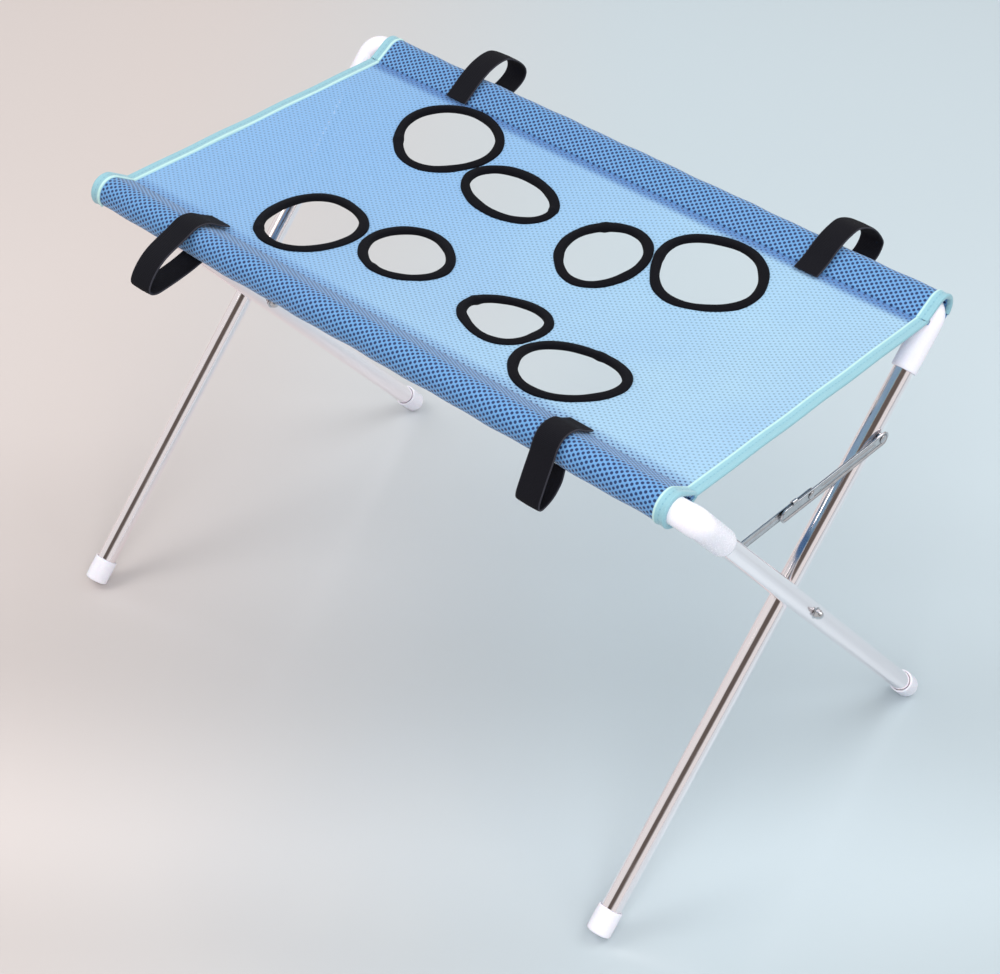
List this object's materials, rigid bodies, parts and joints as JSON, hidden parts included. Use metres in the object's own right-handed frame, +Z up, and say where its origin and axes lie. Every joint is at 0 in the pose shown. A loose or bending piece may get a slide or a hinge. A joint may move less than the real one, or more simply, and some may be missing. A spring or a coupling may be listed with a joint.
{
  "type": "folding mesh restraint stand",
  "caption": "Folding X-frame stand of chromed tube carrying a blue mesh sling with bound leg holes in pairs and black strap loops on both rails.",
  "frame": {"origin": "on the standing surface, below the middle of the sling", "axes": "+X along the rails to the right, +Y from the near rail to the far rail, +Z up"},
  "size_m": [0.7319, 0.5081, 0.4996],
  "materials": {
    "chromed_tube": "bright chrome-plated round steel tube",
    "chromed_hardware": "chromed bolt and flanged cap nut",
    "stamped_steel": "bright zinc-plated stamping",
    "white_plastic": "glossy white moulding",
    "spacer_plastic": "plain nylon spacer",
    "spacer_mesh_double": "two layers of cornflower blue spacer mesh with dark holes",
    "spacer_mesh": "one layer of sky blue spacer mesh",
    "aqua_tape": "pale aqua folded woven tape, stitched",
    "black_binding": "black folded binding tape",
    "black_webbing": "flat black woven webbing"
  },
  "bodies": {
    "frame_a": {"brace_leg_rivet_a_left": "stamped_steel", "brace_leg_rivet_a_right": "stamped_steel", "brace_spacer_a_left": "stamped_steel", "brace_spacer_a_right": "stamped_steel", "corner_elbow_a_left": "white_plastic", "corner_elbow_a_right": "white_plastic", "end_tape_left": "aqua_tape", "end_tape_right": "aqua_tape", "foot_cap_a_left": "white_plastic", "foot_cap_a_right": "white_plastic", "hole_binding_far_left_big": "black_binding", "hole_binding_far_left_small": "black_binding", "hole_binding_far_right_big": "black_binding", "hole_binding_far_right_small": "black_binding", "hole_binding_near_left_big": "black_binding", "hole_binding_near_left_small": "black_binding", "hole_binding_near_right_big": "black_binding", "hole_binding_near_right_small": "black_binding", "leg_tube_a_left": "chromed_tube", "leg_tube_a_right": "chromed_tube", "mouth_binding_a_left": "aqua_tape", "mouth_binding_a_right": "aqua_tape", "pivot_bolt_left": "chromed_hardware", "pivot_bolt_right": "chromed_hardware", "pivot_nut_left": "chromed_hardware", "pivot_nut_right": "chromed_hardware", "pivot_spacer_left": "spacer_plastic", "pivot_spacer_right": "spacer_plastic", "rail_sleeve_a": "spacer_mesh_double", "rail_tube_a": "chromed_tube", "sling_panel": "spacer_mesh", "strap_loop_far_left": "black_webbing", "strap_loop_far_right": "black_webbing"},
    "frame_b": {"brace_leg_rivet_b_left": "stamped_steel", "brace_leg_rivet_b_right": "stamped_steel", "brace_spacer_b_left": "stamped_steel", "brace_spacer_b_right": "stamped_steel", "corner_elbow_b_left": "white_plastic", "corner_elbow_b_right": "white_plastic", "foot_cap_b_left": "white_plastic", "foot_cap_b_right": "white_plastic", "leg_tube_b_left": "chromed_tube", "leg_tube_b_right": "chromed_tube", "mouth_binding_b_left": "aqua_tape", "mouth_binding_b_right": "aqua_tape", "rail_sleeve_b": "spacer_mesh_double", "rail_tube_b": "chromed_tube", "strap_loop_near_left": "black_webbing", "strap_loop_near_right": "black_webbing"},
    "brace_upper_right": {"brace_middle_rivet_head_right": "stamped_steel", "brace_upper_link_right": "stamped_steel"},
    "brace_lower_right": {"brace_lower_link_right": "stamped_steel", "brace_middle_rivet_tail_right": "stamped_steel"},
    "brace_upper_left": {"brace_middle_rivet_head_left": "stamped_steel", "brace_upper_link_left": "stamped_steel"},
    "brace_lower_left": {"brace_lower_link_left": "stamped_steel", "brace_middle_rivet_tail_left": "stamped_steel"}
  },
  "joints": [
    {"name": "fold", "type": "hinge", "parent": "frame_a", "child": "frame_b", "pos_m": [0, 0, 0.26083], "axis": [-1, 0, 0], "range_deg": [0, 70], "deforming": ["sling_panel", "end_tape_left", "end_tape_right", "hole_binding_far_left_big", "hole_binding_far_left_small", "hole_binding_far_right_big", "hole_binding_far_right_small", "hole_binding_near_left_big", "hole_binding_near_left_small", "hole_binding_near_right_big", "hole_binding_near_right_small"]},
    {"name": "brace_upper_right_swing", "type": "hinge", "parent": "frame_a", "child": "brace_upper_right", "pos_m": [0, 0.10665, 0.38011], "axis": [-1, 0, 0], "range_deg": [0, 115.3]},
    {"name": "brace_lower_right_swing", "type": "hinge", "parent": "frame_b", "child": "brace_lower_right", "pos_m": [0, -0.10665, 0.38011], "axis": [1, 0, 0], "range_deg": [0, 115.3]},
    {"name": "brace_upper_left_swing", "type": "hinge", "parent": "frame_a", "child": "brace_upper_left", "pos_m": [0, 0.10665, 0.38011], "axis": [-1, 0, 0], "range_deg": [0, 115.3]},
    {"name": "brace_lower_left_swing", "type": "hinge", "parent": "frame_b", "child": "brace_lower_left", "pos_m": [0, -0.10665, 0.38011], "axis": [1, 0, 0], "range_deg": [0, 115.3]}
  ],
  "couplings": [
    {"joint": "brace_upper_right_swing", "follows": "fold", "ratio": 1.6395},
    {"joint": "brace_lower_right_swing", "follows": "fold", "ratio": 1.6395},
    {"joint": "brace_upper_left_swing", "follows": "fold", "ratio": 1.6395},
    {"joint": "brace_lower_left_swing", "follows": "fold", "ratio": 1.6395}
  ]
}
